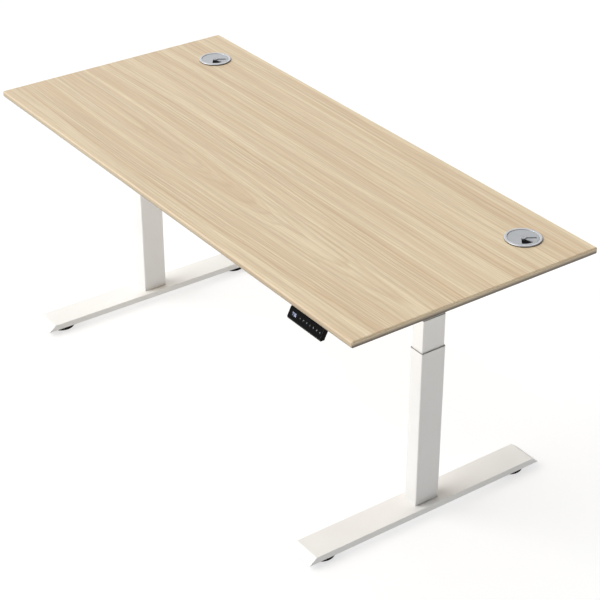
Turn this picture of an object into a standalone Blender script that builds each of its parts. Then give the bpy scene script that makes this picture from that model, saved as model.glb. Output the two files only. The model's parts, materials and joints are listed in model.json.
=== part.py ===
"""Height-adjustable desk: a laminate top on two three-stage telescopic T-legs.

Metres, +Z up, +X to the user's right, -Y towards the user. The origin is on the floor,
midway between the columns. The desk stands at DESK_HEIGHT; each column's middle tube has
then risen half as far as the top, and both screws in it turn together to lift it.
"""

import math

import bmesh
import bpy
from mathutils import Vector

GAP = 0.0003  # kept between pieces that touch
SIDES = {"left": -1, "right": 1}

# Tabletop
TOP_WIDTH, TOP_DEPTH, TOP_THICK = 1.800, 0.800, 0.019
DESK_HEIGHT = 0.776
TOP_CENTRE_Y = 0.008
TOP_EDGE_RADIUS = 0.005
TOP_FRONT = TOP_CENTRE_Y - TOP_DEPTH / 2
UNDERSIDE = DESK_HEIGHT - TOP_THICK
CEILING = UNDERSIDE - GAP  # what hangs under the top starts here

# Cable grommets: a flanged sleeve, a lid with a sector cut out, and a flap that turns under it
GROMMETS = {"left": (-0.7246, 0.2802), "right": (0.7506, 0.2828)}
GROMMET_HOLE = 0.0400
FLANGE_RADIUS = 0.0510
FLANGE_SEAT = 0.0005  # depth of the seat that the flange drops into
SLEEVE_OUT, SLEEVE_IN, SLEEVE_LOW = 0.0395, 0.0380, -0.0420
LID_RADIUS = 0.0420
LID_TOP, LID_UNDER = 0.0030, 0.0011  # above the worktop
LID_RING = (0.0362, 0.0377)  # the ring under the lid that drops into the sleeve
LID_OPENING = (-48, 57)  # degrees about the lid's centre, from +X
LID_OPENING_RADIUS = 0.0352
LID_HUB, LID_HUB_END = 0.0075, -90  # the hub's radius, and where its arc meets the straight side
FLAP_SPAN = (13, 131)  # degrees, as it stands, partly open
FLAP_RADIUS = 0.0356

# Feet
FOOT_WIDTH, FOOT_LENGTH, FOOT_THICK = 0.090, 0.810, 0.019
FOOT_RUN = 0.024  # length of the slope at each end
FOOT_CENTRE_Y = -0.009
FOOT_WALL = 0.003
GLIDE_HEIGHT = 0.014
GLIDE_RADIUS = 0.0400
GLIDE_STUD = 0.004
GLIDE_PLACES = {"front": -0.345, "back": 0.323}
FOOT_TOP = GLIDE_HEIGHT + FOOT_THICK

# Columns: three nested tubes, (width along X, depth along Y, outside corner radius)
COLUMN_X = 0.718
TUBE_WALL = 0.002
OUTER_TUBE = (0.050, 0.080, 0.0030)
MIDDLE_TUBE = (0.045, 0.075, 0.0026)
INNER_TUBE = (0.040, 0.070, 0.0024)
COLLAR_HEIGHT = 0.002
OUTER_SPAN = (FOOT_TOP + GAP, 0.5277)
MIDDLE_SPAN = (0.1280, 0.6265)
INNER_SPAN = (0.2170, 0.7170)
OUTER_FLOOR, MIDDLE_FLOOR = 0.006, 0.004  # thickness of the plate welded in the tube's foot

# Screws on the column's axis
LEAD_RADIUS, LEAD_TOP = 0.005, 0.410
HOLLOW_RADIUS, HOLLOW_BORE, HOLLOW_TOP = 0.008, 0.0055, 0.600
DRIVE_SQUARE, DRIVE_BORE = 0.024, 0.020
DRIVE_HEAD_PLAY = 0.0003
NUT_SPAN = (0.225, 0.243)

# Head bracket, rails and side arms: the steel frame under the top
FRAME_LOW, FRAME_HIGH = INNER_SPAN[1] + GAP, 0.752
BRACKET_WALL = 0.003
BRACKET_X, BRACKET_HALF = (0.600, 0.780), 0.048
RAIL_DEPTH, RAIL_WALL, RAIL_END = 0.020, 0.0015, 0.779
ARM_WIDTH, ARM_HALF = 0.040, 0.245
MOTOR_RADIUS, MOTOR_X = 0.015, (0.615, 0.6917)

# Control box, between the rails
CONTROL_X, CONTROL_HALF, CONTROL_LOW = (-0.105, 0.135), 0.040, 0.720
COVER_THICK, CONTROL_WALL = 0.002, 0.002

# Handset: a tilted slab under the front edge. Its frame is (x, depth behind the face, rise)
PANEL_X = (0.6506, 0.7880)
PANEL_TILT = math.radians(26.4)
PANEL_HEIGHT, PANEL_CASE, PANEL_THICK = 0.0285, 0.0132, 0.0157
PANEL_WALL = 0.0016
KEY_RADIUS, KEY_PLAY, KEY_RISE = 0.0043, 0.0004, -0.0134
KEY_FIRST, KEY_PITCH = 0.6978, 0.0137
KEYS = ("up", "down", "memory", "1", "2", "3", "4")
WINDOW_X, WINDOW_RISE = (0.6582, 0.6852), (-0.0210, -0.0075)

# Cable routes under the top, each from the handset or motor to the control box
MOTOR_CABLE, HANDSET_CABLE = 0.005, 0.0036
RIGHT_MOTOR_ROUTE = (
    (0.6067, 0.000, 0.7361), (0.590, 0.000, 0.7365), (0.555, 0.012, 0.744),
    (0.500, 0.024, 0.7500), (0.350, 0.026, 0.7505), (0.230, 0.025, 0.7480),
    (0.165, 0.022, 0.7430), (0.1353, 0.022, 0.7420),
)  # fmt: skip
LEFT_MOTOR_ROUTE = (
    (-0.6067, 0.000, 0.7361), (-0.590, 0.000, 0.7365), (-0.555, 0.012, 0.744),
    (-0.500, 0.024, 0.7500), (-0.350, 0.026, 0.7505), (-0.230, 0.027, 0.7480),
    (-0.140, 0.027, 0.7430), (-0.1053, 0.027, 0.7420),
)  # fmt: skip
HANDSET_ROUTE = (
    (0.700, -0.3819, 0.7405), (0.699, -0.3700, 0.7375), (0.690, -0.3450, 0.7450),
    (0.668, -0.3120, 0.7532), (0.600, -0.2400, 0.7545), (0.500, -0.1600, 0.7545),
    (0.420, -0.1000, 0.7545), (0.360, -0.0583, 0.7545), (0.300, -0.0300, 0.7535),
    (0.230, -0.0190, 0.7480), (0.170, -0.0180, 0.7442), (0.1353, -0.0180, 0.7440),
)  # fmt: skip


# ---------------------------------------------------------------- outlines


def rectangle(width, depth, radius=0.0, steps=4):
    """A rectangle about the origin, its corners rounded when radius is given."""
    points = []
    for turn, (sx, sy) in enumerate(((1, 1), (-1, 1), (-1, -1), (1, -1))):
        centre = (sx * (width / 2 - radius), sy * (depth / 2 - radius))
        if radius:
            points += arc(radius, 90 * turn, 90 * turn + 90, steps, centre)
        else:
            points.append(centre)
    return points


def arc(radius, start, end, steps, centre=(0, 0)):
    """Points on an arc from start to end, in degrees."""
    angles = [math.radians(start + (end - start) * i / steps) for i in range(steps + 1)]
    return [(centre[0] + radius * math.cos(a), centre[1] + radius * math.sin(a)) for a in angles]


def circle(radius, steps=24):
    return arc(radius, 0, 360, steps)[:-1]


def inset(tube, by):
    """A tube's section with each side moved in by that much."""
    width, depth, radius = tube
    return rectangle(width - 2 * by, depth - 2 * by, max(radius - by, 0.0008))


def shifted(outline, by):
    return [(a + by[0], b + by[1]) for a, b in outline]


# ---------------------------------------------------------------- meshes


def prism(outline, along, start, end):
    """The outline drawn from start to end along an axis: (y, z) along X, (x, z) along Y, (x, y) along Z."""
    bm = bmesh.new()
    slot = "XYZ".index(along)

    def ring(level):
        return [bm.verts.new((*p[:slot], level, *p[slot:])) for p in outline]

    low, high = ring(start), ring(end)
    bm.faces.new(low)
    bm.faces.new(high)
    for i in range(len(outline)):
        j = (i + 1) % len(outline)
        bm.faces.new((low[i], low[j], high[j], high[i]))
    return bm


def turned(profile, steps=32):
    """A closed (radius, z) profile turned about Z."""
    bm = bmesh.new()
    rings = []
    for i in range(steps):
        angle = 2 * math.pi * i / steps
        cos, sin = math.cos(angle), math.sin(angle)
        rings.append([bm.verts.new((r * cos, r * sin, z)) for r, z in profile])
    for i in range(steps):
        here, there = rings[i], rings[(i + 1) % steps]
        for j in range(len(profile)):
            k = (j + 1) % len(profile)
            if profile[j][0] > 0 or profile[k][0] > 0:
                bm.faces.new((here[j], there[j], there[k], here[k]))
    bmesh.ops.remove_doubles(bm, verts=bm.verts, dist=1e-6)
    return bm


def block(low, high):
    """A box between two corners."""
    outline = [(low[0], low[1]), (high[0], low[1]), (high[0], high[1]), (low[0], high[1])]
    return prism(outline, "Z", low[2], high[2])


# ---------------------------------------------------------------- objects


def look(name, colour, roughness, metallic=0.0):
    """A Principled material of one colour."""
    material = bpy.data.materials.new(name)
    material.use_nodes = True
    shader = material.node_tree.nodes["Principled BSDF"]
    shader.inputs["Base Color"].default_value = (*colour, 1)
    shader.inputs["Roughness"].default_value = roughness
    shader.inputs["Metallic"].default_value = metallic
    return material


def add(name, bm, material, location=(0, 0, 0), parent=None, smooth=False):
    """One named object made from a bmesh."""
    bmesh.ops.recalc_face_normals(bm, faces=bm.faces)
    mesh = bpy.data.meshes.new(name)
    bm.to_mesh(mesh)
    bm.free()
    mesh.materials.append(material)
    if smooth:
        mesh.shade_smooth()
        mesh.set_sharp_from_angle(angle=math.radians(35))
    obj = bpy.data.objects.new(name, mesh)
    obj.location = location
    obj.parent = parent
    bpy.context.scene.collection.objects.link(obj)
    return obj


def combine(obj, operation, bm):
    """Cuts a shape from obj, or joins one to it. The shape is in obj's own frame."""
    number = len(obj.modifiers)
    tool = add(f"{obj.name}_tool_{number}", bm, obj.data.materials[0], obj.location, obj.parent)
    tool.hide_render = True
    tool.display_type = "WIRE"
    modifier = obj.modifiers.new(f"{operation.lower()}_{number}", "BOOLEAN")
    modifier.operation = operation
    modifier.object = tool
    modifier.solver = "EXACT"


def cut(obj, bm):
    combine(obj, "DIFFERENCE", bm)


def join(obj, bm):
    combine(obj, "UNION", bm)


def bevel(obj, width, segments):
    modifier = obj.modifiers.new("edge", "BEVEL")
    modifier.width = width
    modifier.segments = segments
    modifier.limit_method = "ANGLE"


def hollow(name, tube, wall, span, material, location, floor=0.0):
    """A tube standing on Z, closed by a plate at its foot when floor is given."""
    obj = add(name, prism(inset(tube, 0), "Z", *span), material, location, smooth=True)
    start = span[0] + floor if floor else span[0] - 0.01
    cut(obj, prism(inset(tube, wall), "Z", start, span[1] + 0.01))
    return obj


def cable(name, route, diameter, material, steps=4):
    """A round cable along a smooth curve through the route's points."""
    points = [Vector(p) for p in route]
    line = []
    for i in range(len(points) - 1):
        before, after = points[max(i - 1, 0)], points[min(i + 2, len(points) - 1)]
        here, there = points[i], points[i + 1]
        for k in range(steps):
            t = k / steps
            line.append(
                here * (2 * t**3 - 3 * t**2 + 1)
                + there * (3 * t**2 - 2 * t**3)
                + (there - before) / 2 * (t**3 - 2 * t**2 + t)
                + (after - here) / 2 * (t**3 - t**2)
            )
    line.append(points[-1])
    curve = bpy.data.curves.new(name, "CURVE")
    curve.dimensions = "3D"
    curve.bevel_depth = diameter / 2
    curve.bevel_resolution = 2
    curve.use_fill_caps = True
    spline = curve.splines.new("POLY")
    spline.points.add(len(line) - 1)
    for point, place in zip(spline.points, line):
        point.co = (*place, 1)
    curve.materials.append(material)
    obj = bpy.data.objects.new(name, curve)
    bpy.context.scene.collection.objects.link(obj)


# ---------------------------------------------------------------- the desk's pieces


def make_tabletop(material):
    half = TOP_WIDTH / 2
    low = (-half, TOP_FRONT, UNDERSIDE)
    top = add("tabletop", block(low, (half, TOP_FRONT + TOP_DEPTH, DESK_HEIGHT)), material)
    bevel(top, TOP_EDGE_RADIUS, 4)
    above = DESK_HEIGHT + 0.01
    for place in GROMMETS.values():
        hole = shifted(circle(GROMMET_HOLE, 48), place)
        cut(top, prism(hole, "Z", UNDERSIDE - 0.01, above))
        seat = shifted(circle(FLANGE_RADIUS + GAP, 48), place)
        cut(top, prism(seat, "Z", DESK_HEIGHT - FLANGE_SEAT, above))


def make_grommet(side, metal, plastic):
    place = (*GROMMETS[side], DESK_HEIGHT)
    under = GAP - FLANGE_SEAT
    sleeve = (
        (SLEEVE_IN, SLEEVE_LOW), (SLEEVE_OUT, SLEEVE_LOW), (SLEEVE_OUT, under),
        (FLANGE_RADIUS, under), (FLANGE_RADIUS, 0.0022), (0.0502, 0.0034),
        (0.0478, 0.0042), (0.0446, 0.0040), (0.0427, 0.0030), (0.0424, 0.0008),
        (SLEEVE_IN, 0.0008),
    )  # fmt: skip
    add(f"grommet_sleeve_{side}", turned(sleeve, 48), metal, place, smooth=True)
    near, far = LID_RING
    lid = (
        (0, LID_TOP), (LID_RADIUS, LID_TOP), (LID_RADIUS, LID_UNDER), (far, LID_UNDER),
        (far, -0.0080), (near, -0.0080), (near, LID_UNDER), (0.0032, LID_UNDER),
        (0.0032, -0.0013), (0.0048, -0.0013), (0.0048, -0.0028), (0, -0.0028),
    )  # fmt: skip
    cover = add(f"grommet_lid_{side}", turned(lid, 48), plastic, place, smooth=True)
    start, end = LID_OPENING
    sector = arc(LID_OPENING_RADIUS, start, end, 16) + arc(LID_HUB, end, LID_HUB_END, 8)
    cut(cover, prism(sector, "Z", 0, LID_TOP + 0.01))
    start, end = FLAP_SPAN
    plate = arc(FLAP_RADIUS, start, end, 16) + arc(LID_HUB, end, start + 360, 10)[1:-1]
    flap = add(
        f"grommet_flap_{side}", prism(plate, "Z", -0.0010, LID_UNDER - GAP), plastic, place
    )
    cut(flap, prism(circle(0.0035, 12), "Z", -0.01, 0.01))


def make_foot(side, steel):
    x = SIDES[side] * COLUMN_X
    front, back = FOOT_CENTRE_Y - FOOT_LENGTH / 2, FOOT_CENTRE_Y + FOOT_LENGTH / 2
    outline = (
        (front, GLIDE_HEIGHT), (back, GLIDE_HEIGHT),
        (back - FOOT_RUN, FOOT_TOP), (front + FOOT_RUN, FOOT_TOP),
    )  # fmt: skip
    half = FOOT_WIDTH / 2
    foot = add(f"foot_{side}", prism(outline, "X", -half, half), steel, (x, 0, 0))
    bevel(foot, 0.0012, 2)
    wall, below = FOOT_WALL, 0.002
    roof = FOOT_THICK - wall
    run = FOOT_RUN / FOOT_THICK  # of the slope, per metre of height
    sloped = wall * math.hypot(1, run)
    cavity = (
        (front + sloped - below * run, GLIDE_HEIGHT - below),
        (back - sloped + below * run, GLIDE_HEIGHT - below),
        (back - sloped - roof * run, GLIDE_HEIGHT + roof),
        (front + sloped + roof * run, GLIDE_HEIGHT + roof),
    )
    cut(foot, prism(cavity, "X", wall - half, half - wall))
    for y in GLIDE_PLACES.values():
        plate = block((wall - half - 0.001, y - 0.022, GLIDE_HEIGHT + GAP),
                      (half - wall + 0.001, y + 0.022, GLIDE_HEIGHT + 0.004))  # fmt: skip
        join(foot, plate)
        stud = shifted(circle(GLIDE_STUD + 0.0005, 16), (0, y))
        cut(foot, prism(stud, "Z", 0, GLIDE_HEIGHT + 0.01))


def make_glides(side, rubber):
    top = GLIDE_HEIGHT - GAP
    profile = (
        (0, 0), (GLIDE_RADIUS - 0.002, 0), (GLIDE_RADIUS, 0.002), (GLIDE_RADIUS, top - 0.0012),
        (GLIDE_RADIUS - 0.0012, top), (GLIDE_STUD, top),
        (GLIDE_STUD, FOOT_TOP - FOOT_WALL - GAP), (0, FOOT_TOP - FOOT_WALL - GAP),
    )  # fmt: skip
    for end, y in GLIDE_PLACES.items():
        place = (SIDES[side] * COLUMN_X, y, 0)
        add(f"glide_{end}_{side}", turned(profile, 32), rubber, place, smooth=True)


def make_column(side, steel, plastic):
    axis = (SIDES[side] * COLUMN_X, 0, 0)
    hollow(f"outer_tube_{side}", OUTER_TUBE, TUBE_WALL, OUTER_SPAN, steel, axis, OUTER_FLOOR)
    middle = hollow(
        f"middle_tube_{side}", MIDDLE_TUBE, TUBE_WALL, MIDDLE_SPAN, steel, axis, MIDDLE_FLOOR
    )
    bearing = circle(LEAD_RADIUS + 0.0015, 16)
    cut(middle, prism(bearing, "Z", MIDDLE_SPAN[0] - 0.01, MIDDLE_SPAN[0] + 0.01))
    hollow(f"inner_tube_{side}", INNER_TUBE, TUBE_WALL, INNER_SPAN, steel, axis)
    for name, tube, inside, base in (
        ("collar_lower", OUTER_TUBE, MIDDLE_TUBE, OUTER_SPAN[1]),
        ("collar_upper", MIDDLE_TUBE, INNER_TUBE, MIDDLE_SPAN[1]),
    ):
        span = (base + GAP, base + GAP + COLLAR_HEIGHT)
        edge = inset(tube, 0.0004)
        collar = add(f"{name}_{side}", prism(edge, "Z", *span), plastic, axis, smooth=True)
        cut(collar, prism(inset(inside, -GAP), "Z", span[0] - 0.01, span[1] + 0.01))


def make_screws(side, steel, bronze):
    axis = (SIDES[side] * COLUMN_X, 0, 0)
    low = OUTER_SPAN[0] + OUTER_FLOOR + GAP
    lead = (
        (0, low), (0.012, low), (0.012, low + 0.004), (LEAD_RADIUS, low + 0.004),
        (LEAD_RADIUS, LEAD_TOP), (0, LEAD_TOP),
    )  # fmt: skip
    add(f"lead_screw_{side}", turned(lead, 16), steel, axis, smooth=True)

    low = MIDDLE_SPAN[0] + MIDDLE_FLOOR + GAP
    screw = (
        (0, low), (0.013, low), (0.013, low + 0.004), (HOLLOW_RADIUS, low + 0.004),
        (HOLLOW_RADIUS, HOLLOW_TOP), (0, HOLLOW_TOP),
    )  # fmt: skip
    hollow_screw = add(f"hollow_screw_{side}", turned(screw, 16), steel, axis, smooth=True)
    head = DRIVE_BORE - 2 * DRIVE_HEAD_PLAY
    join(hollow_screw, prism(rectangle(head, head), "Z", HOLLOW_TOP - 0.015, HOLLOW_TOP + 0.001))
    cut(hollow_screw, prism(circle(HOLLOW_BORE, 16), "Z", low - 0.01, HOLLOW_TOP + 0.01))

    span = (NUT_SPAN[1] + GAP, INNER_SPAN[1] - 0.001)
    drive = add(
        f"drive_tube_{side}", prism(rectangle(DRIVE_SQUARE, DRIVE_SQUARE, 0.002), "Z", *span),
        steel, axis, smooth=True,
    )  # fmt: skip
    bore = prism(rectangle(DRIVE_BORE, DRIVE_BORE), "Z", span[0] - 0.01, span[1] - 0.004)
    cut(drive, bore)
    neck_top = FRAME_LOW + BRACKET_WALL
    join(drive, prism(circle(0.009, 16), "Z", span[1] - 0.001, neck_top))

    width, depth, _ = INNER_TUBE
    body = rectangle(width - 2 * TUBE_WALL - 2 * GAP, depth - 2 * TUBE_WALL - 2 * GAP, 0.0012)
    nut = add(f"travel_nut_{side}", prism(body, "Z", *NUT_SPAN), bronze, axis)
    cut(nut, prism(circle(HOLLOW_RADIUS + 0.0005, 16), "Z", 0, 1))


def sided(side, start, end):
    """Start and end along X on that side of the desk, low one first."""
    return sorted((SIDES[side] * start, SIDES[side] * end))


def make_head(side, steel, alloy, dark):
    low, high = sided(side, *BRACKET_X)
    bracket = add(
        f"head_bracket_{side}",
        block((low, -BRACKET_HALF, FRAME_LOW), (high, BRACKET_HALF, FRAME_HIGH)),
        steel,
    )
    inner = BRACKET_HALF - BRACKET_WALL
    low, high = sided(side, BRACKET_X[0] - 0.01, BRACKET_X[1] - BRACKET_WALL)
    floor = FRAME_LOW + BRACKET_WALL
    cut(bracket, block((low, -inner, floor), (high, inner, FRAME_HIGH + 0.01)))
    passage = shifted(circle(0.012, 16), (SIDES[side] * COLUMN_X, 0))
    cut(bracket, prism(passage, "Z", FRAME_LOW - 0.01, floor + 0.01))

    low, high = sided(side, MOTOR_X[1] + GAP, 0.744)
    gearbox = block((low, -0.030, floor + GAP), (high, 0.030, FRAME_HIGH - GAP))
    bevel(add(f"gearbox_{side}", gearbox, alloy), 0.002, 2)

    middle = floor + GAP + 0.0155
    low, high = sided(side, *MOTOR_X)
    can = prism(circle(MOTOR_RADIUS, 24), "X", low, high)
    motor = add(f"motor_{side}", can, dark, (0, 0, middle), smooth=True)
    low, high = sided(side, MOTOR_X[0] - 0.008, MOTOR_X[0] + 0.001)
    join(motor, prism(circle(0.011, 24), "X", low, high))


def make_rails(steel):
    centre_z = (FRAME_LOW + FRAME_HIGH) / 2
    height = FRAME_HIGH - FRAME_LOW
    for name, sign in (("front_rail", -1), ("rear_rail", 1)):
        place = (0, sign * (BRACKET_HALF + GAP + RAIL_DEPTH / 2), centre_z)
        outside = rectangle(RAIL_DEPTH, height, 0.002)
        rail = add(name, prism(outside, "X", -RAIL_END, RAIL_END), steel, place, smooth=True)
        wall = 2 * RAIL_WALL
        bore = rectangle(RAIL_DEPTH - wall, height - wall, 0.0008)
        cut(rail, prism(bore, "X", -1, 1))


def make_side_arm(side, steel):
    low_z, tip_z, mid = 0.7175, 0.745, 0.090
    outline = (
        (-ARM_HALF, CEILING), (-ARM_HALF, tip_z), (-mid, low_z),
        (mid, low_z), (ARM_HALF, tip_z), (ARM_HALF, CEILING),
    )  # fmt: skip
    start = BRACKET_X[1] + GAP
    arm = add(
        f"side_arm_{side}", prism(outline, "X", *sided(side, start, start + ARM_WIDTH)), steel
    )
    wall = BRACKET_WALL
    low, high = sided(side, start + wall, start + ARM_WIDTH - wall)
    reach = ARM_HALF - wall
    cut(arm, block((low, -reach, low_z - 0.02), (high, reach, CEILING - wall)))


def make_control_box(dark, board_green):
    start, end = CONTROL_X
    roof = CEILING - COVER_THICK - GAP
    wall, half = CONTROL_WALL, CONTROL_HALF
    case = add("control_case", block((start, -half, CONTROL_LOW), (end, half, roof)), dark)
    bevel(case, 0.0015, 2)
    inside = half - wall
    cut(case, block((start + wall, -inside, CONTROL_LOW + wall), (end - wall, inside, roof + 0.01)))
    cut(case, block((start - 0.01, -0.0138, 0.7277), (start + 0.01, 0.0138, 0.7483)))
    lip = 0.020
    cover = block((start - lip, -half, roof + GAP), (end + lip, half, CEILING))
    add("control_cover", cover, dark)
    board = block((start + 0.014, -0.034, 0.7235), (end - 0.010, 0.034, 0.7251))
    add("control_board", board, board_green)
    inlet = add(
        "mains_inlet", block((start - 0.0015, -0.0135, 0.728), (start + 0.0115, 0.0135, 0.748)), dark
    )
    cut(inlet, block((start - 0.01, -0.0115, 0.730), (start + 0.0085, 0.0115, 0.746)))


# ---------------------------------------------------------------- the handset


def rise_at_ceiling(depth, drop=0.0):
    """The rise, on the tilted panel's frame, at which a depth meets the level drop below its top edge."""
    return (depth * math.sin(PANEL_TILT) - drop) / math.cos(PANEL_TILT)


def make_panel_frame():
    frame = bpy.data.objects.new("handset_frame", None)
    frame.location = (0, TOP_FRONT, CEILING)
    frame.rotation_euler = (-PANEL_TILT, 0, 0)
    bpy.context.scene.collection.objects.link(frame)
    return frame


def make_handset_case(frame, plastic):
    chamfer = (0.0048, -0.0328)
    foot = (PANEL_CASE, -0.0290)
    outline = (
        (0, 0), (0, -PANEL_HEIGHT), chamfer, foot, (PANEL_CASE, rise_at_ceiling(PANEL_CASE))
    )  # fmt: skip
    case = add("handset_case", prism(outline, "X", *PANEL_X), plastic, parent=frame)
    bevel(case, 0.0006, 2)
    wall, beyond = PANEL_WALL, PANEL_CASE + 0.002
    cavity = (
        (wall, rise_at_ceiling(wall, wall)), (wall, -0.0275), (0.0052, -0.0306),
        (beyond, -0.0265), (beyond, rise_at_ceiling(beyond, wall)),
    )  # fmt: skip
    cut(case, prism(cavity, "X", PANEL_X[0] + wall, PANEL_X[1] - wall))
    for i in range(len(KEYS)):
        hole = shifted(circle(KEY_RADIUS + KEY_PLAY, 24), (KEY_FIRST + i * KEY_PITCH, KEY_RISE))
        cut(case, prism(hole, "Y", -0.002, 0.004))
    low, high = zip(WINDOW_X, (-0.002, 0.004), WINDOW_RISE)
    cut(case, block(low, high))


def make_handset_window(frame, glass):
    low = (WINDOW_X[0] + GAP, 0.0001, WINDOW_RISE[0] + GAP)
    high = (WINDOW_X[1] - GAP, 0.0016, WINDOW_RISE[1] - GAP)
    add("handset_window", block(low, high), glass, parent=frame)


def make_handset_back(frame, plastic):
    """A plate that closes the case, with a flange that runs back under the top."""
    near, far = PANEL_CASE + GAP, PANEL_THICK
    reach, thick = 0.040, 0.003
    level = (math.cos(PANEL_TILT), math.sin(PANEL_TILT))  # world +Y, as (depth, rise)
    bend = (far, rise_at_ceiling(far, thick))
    tip = (bend[0] + reach * level[0], bend[1] + reach * level[1])
    tip_top = (tip[0] - thick * level[1], tip[1] + thick * level[0])
    outline = (
        (near, rise_at_ceiling(near)), (near, -0.0290), (far, -0.0280), bend, tip, tip_top
    )  # fmt: skip
    add("handset_back", prism(outline, "X", *PANEL_X), plastic, parent=frame)


def make_handset_keys(frame, plastic):
    for i, name in enumerate(KEYS):
        place = (KEY_FIRST + i * KEY_PITCH, 0, KEY_RISE)
        button = prism(circle(KEY_RADIUS, 24), "Y", -0.0004, 0.0030)
        add(f"key_{name}", button, plastic, place, frame, smooth=True)


def make_handset(plastic, glass, board_green):
    frame = make_panel_frame()
    make_handset_case(frame, plastic)
    make_handset_window(frame, glass)
    make_handset_back(frame, plastic)
    low = (PANEL_X[0] + 0.004, 0.0062, -0.0245)
    add("handset_board", block(low, (PANEL_X[1] - 0.004, 0.0078, -0.0030)), board_green, parent=frame)
    make_handset_keys(frame, plastic)


def main():
    for obj in list(bpy.data.objects):
        bpy.data.objects.remove(obj)
    laminate = look("maple_laminate", (0.62, 0.47, 0.32), 0.45)
    white = look("white_powder_coat", (0.80, 0.80, 0.79), 0.40)
    grey = look("grey_plastic", (0.36, 0.37, 0.38), 0.35, 0.3)
    black = look("black_plastic", (0.02, 0.02, 0.02), 0.40)
    rubber = look("black_rubber", (0.015, 0.015, 0.015), 0.80)
    glass = look("dark_window", (0.01, 0.01, 0.015), 0.08)
    steel = look("bright_steel", (0.55, 0.56, 0.58), 0.30, 1.0)
    bronze = look("bronze", (0.50, 0.34, 0.16), 0.40, 1.0)
    alloy = look("cast_alloy", (0.45, 0.46, 0.47), 0.50, 0.9)
    green = look("circuit_board", (0.03, 0.16, 0.07), 0.50)

    make_tabletop(laminate)
    for side in SIDES:
        make_grommet(side, grey, grey)
        make_foot(side, white)
        make_glides(side, rubber)
        make_column(side, white, black)
        make_screws(side, steel, bronze)
        make_head(side, white, alloy, black)
        make_side_arm(side, white)
    make_rails(white)
    make_control_box(black, green)
    make_handset(black, glass, green)
    cable("motor_cable_right", RIGHT_MOTOR_ROUTE, MOTOR_CABLE, rubber)
    cable("motor_cable_left", LEFT_MOTOR_ROUTE, MOTOR_CABLE, rubber)
    cable("handset_cable", HANDSET_ROUTE, HANDSET_CABLE, rubber)


main()
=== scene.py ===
"""The looks of the height-adjustable desk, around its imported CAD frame. Metres, +Z up."""

import json
import math

import bmesh
import bpy
from mathutils import Matrix, Vector

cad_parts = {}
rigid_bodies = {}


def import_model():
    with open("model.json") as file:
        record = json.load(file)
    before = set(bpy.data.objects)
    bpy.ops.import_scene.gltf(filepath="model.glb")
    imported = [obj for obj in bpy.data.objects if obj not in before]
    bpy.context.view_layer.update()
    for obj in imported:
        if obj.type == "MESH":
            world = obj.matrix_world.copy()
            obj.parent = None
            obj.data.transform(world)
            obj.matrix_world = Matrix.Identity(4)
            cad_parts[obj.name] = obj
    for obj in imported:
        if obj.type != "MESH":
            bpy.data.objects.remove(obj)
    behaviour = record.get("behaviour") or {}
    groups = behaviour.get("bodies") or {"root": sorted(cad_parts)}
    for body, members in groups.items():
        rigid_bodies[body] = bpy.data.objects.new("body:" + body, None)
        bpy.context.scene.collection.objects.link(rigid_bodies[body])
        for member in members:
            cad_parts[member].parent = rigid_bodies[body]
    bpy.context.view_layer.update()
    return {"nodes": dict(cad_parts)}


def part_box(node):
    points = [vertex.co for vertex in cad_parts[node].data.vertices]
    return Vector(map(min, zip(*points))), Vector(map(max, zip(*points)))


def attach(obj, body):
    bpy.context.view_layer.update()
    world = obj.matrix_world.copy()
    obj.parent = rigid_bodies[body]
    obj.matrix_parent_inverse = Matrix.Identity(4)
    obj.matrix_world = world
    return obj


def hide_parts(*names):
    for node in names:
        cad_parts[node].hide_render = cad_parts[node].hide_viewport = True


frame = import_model()

SIDES = {"left": -1, "right": 1}
GAP = 0.0003  # between pieces that touch on the real desk
TOP_LOW, TOP_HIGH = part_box("tabletop")
CEILING = TOP_LOW.z - GAP  # where the pieces fixed under the top begin
SHARP = 35  # degrees between two faces that are shaded as an edge
WELD = 1e-6  # vertices nearer than this are one
PAST = 0.01  # how far a cutter reaches past the piece it cuts


# ---- outlines and meshes

def arc(radius, start, end, steps, centre=(0, 0)):
    angles = [math.radians(start + (end - start) * i / steps) for i in range(steps + 1)]
    return [(centre[0] + radius * math.cos(a), centre[1] + radius * math.sin(a)) for a in angles]


def circle(radius, steps=48, centre=(0, 0)):
    return arc(radius, 0, 360, steps, centre)[:-1]


def rectangle(width, depth, radius=0.0, steps=8, centre=(0, 0)):
    points = []
    for turn, (sx, sy) in enumerate(((1, 1), (-1, 1), (-1, -1), (1, -1))):
        corner = (centre[0] + sx * (width / 2 - radius), centre[1] + sy * (depth / 2 - radius))
        points += arc(radius, 90 * turn, 90 * turn + 90, steps, corner) if radius else [corner]
    return points


def between(low, high, radius=0.0, steps=8):
    """A rounded rectangle between two corners."""
    centre = ((low[0] + high[0]) / 2, (low[1] + high[1]) / 2)
    return rectangle(high[0] - low[0], high[1] - low[1], radius, steps, centre)


def ring(bm, outline, along, level):
    """The outline's points as vertices, at a level along one axis."""
    slot = "XYZ".index(along)
    return [bm.verts.new((*p[:slot], level, *p[slot:])) for p in outline]


def bridge(bm, a, b):
    for i in range(len(a)):
        j = (i + 1) % len(a)
        bm.faces.new((a[i], a[j], b[j], b[i]))


def prism(outline, along, start, end):
    bm = bmesh.new()
    first, last = (ring(bm, outline, along, level) for level in (start, end))
    bm.faces.new(first)
    bm.faces.new(last)
    bridge(bm, first, last)
    return bm


def tube(outside, inside, along, start, end):
    """A prism with a hole through it. Both outlines have the same number of points."""
    bm = bmesh.new()
    loops = ((outside, start), (outside, end), (inside, end), (inside, start))
    rings = [ring(bm, outline, along, level) for outline, level in loops]
    for a, b in zip(rings, rings[1:] + rings[:1]):
        bridge(bm, a, b)
    return bm


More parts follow.
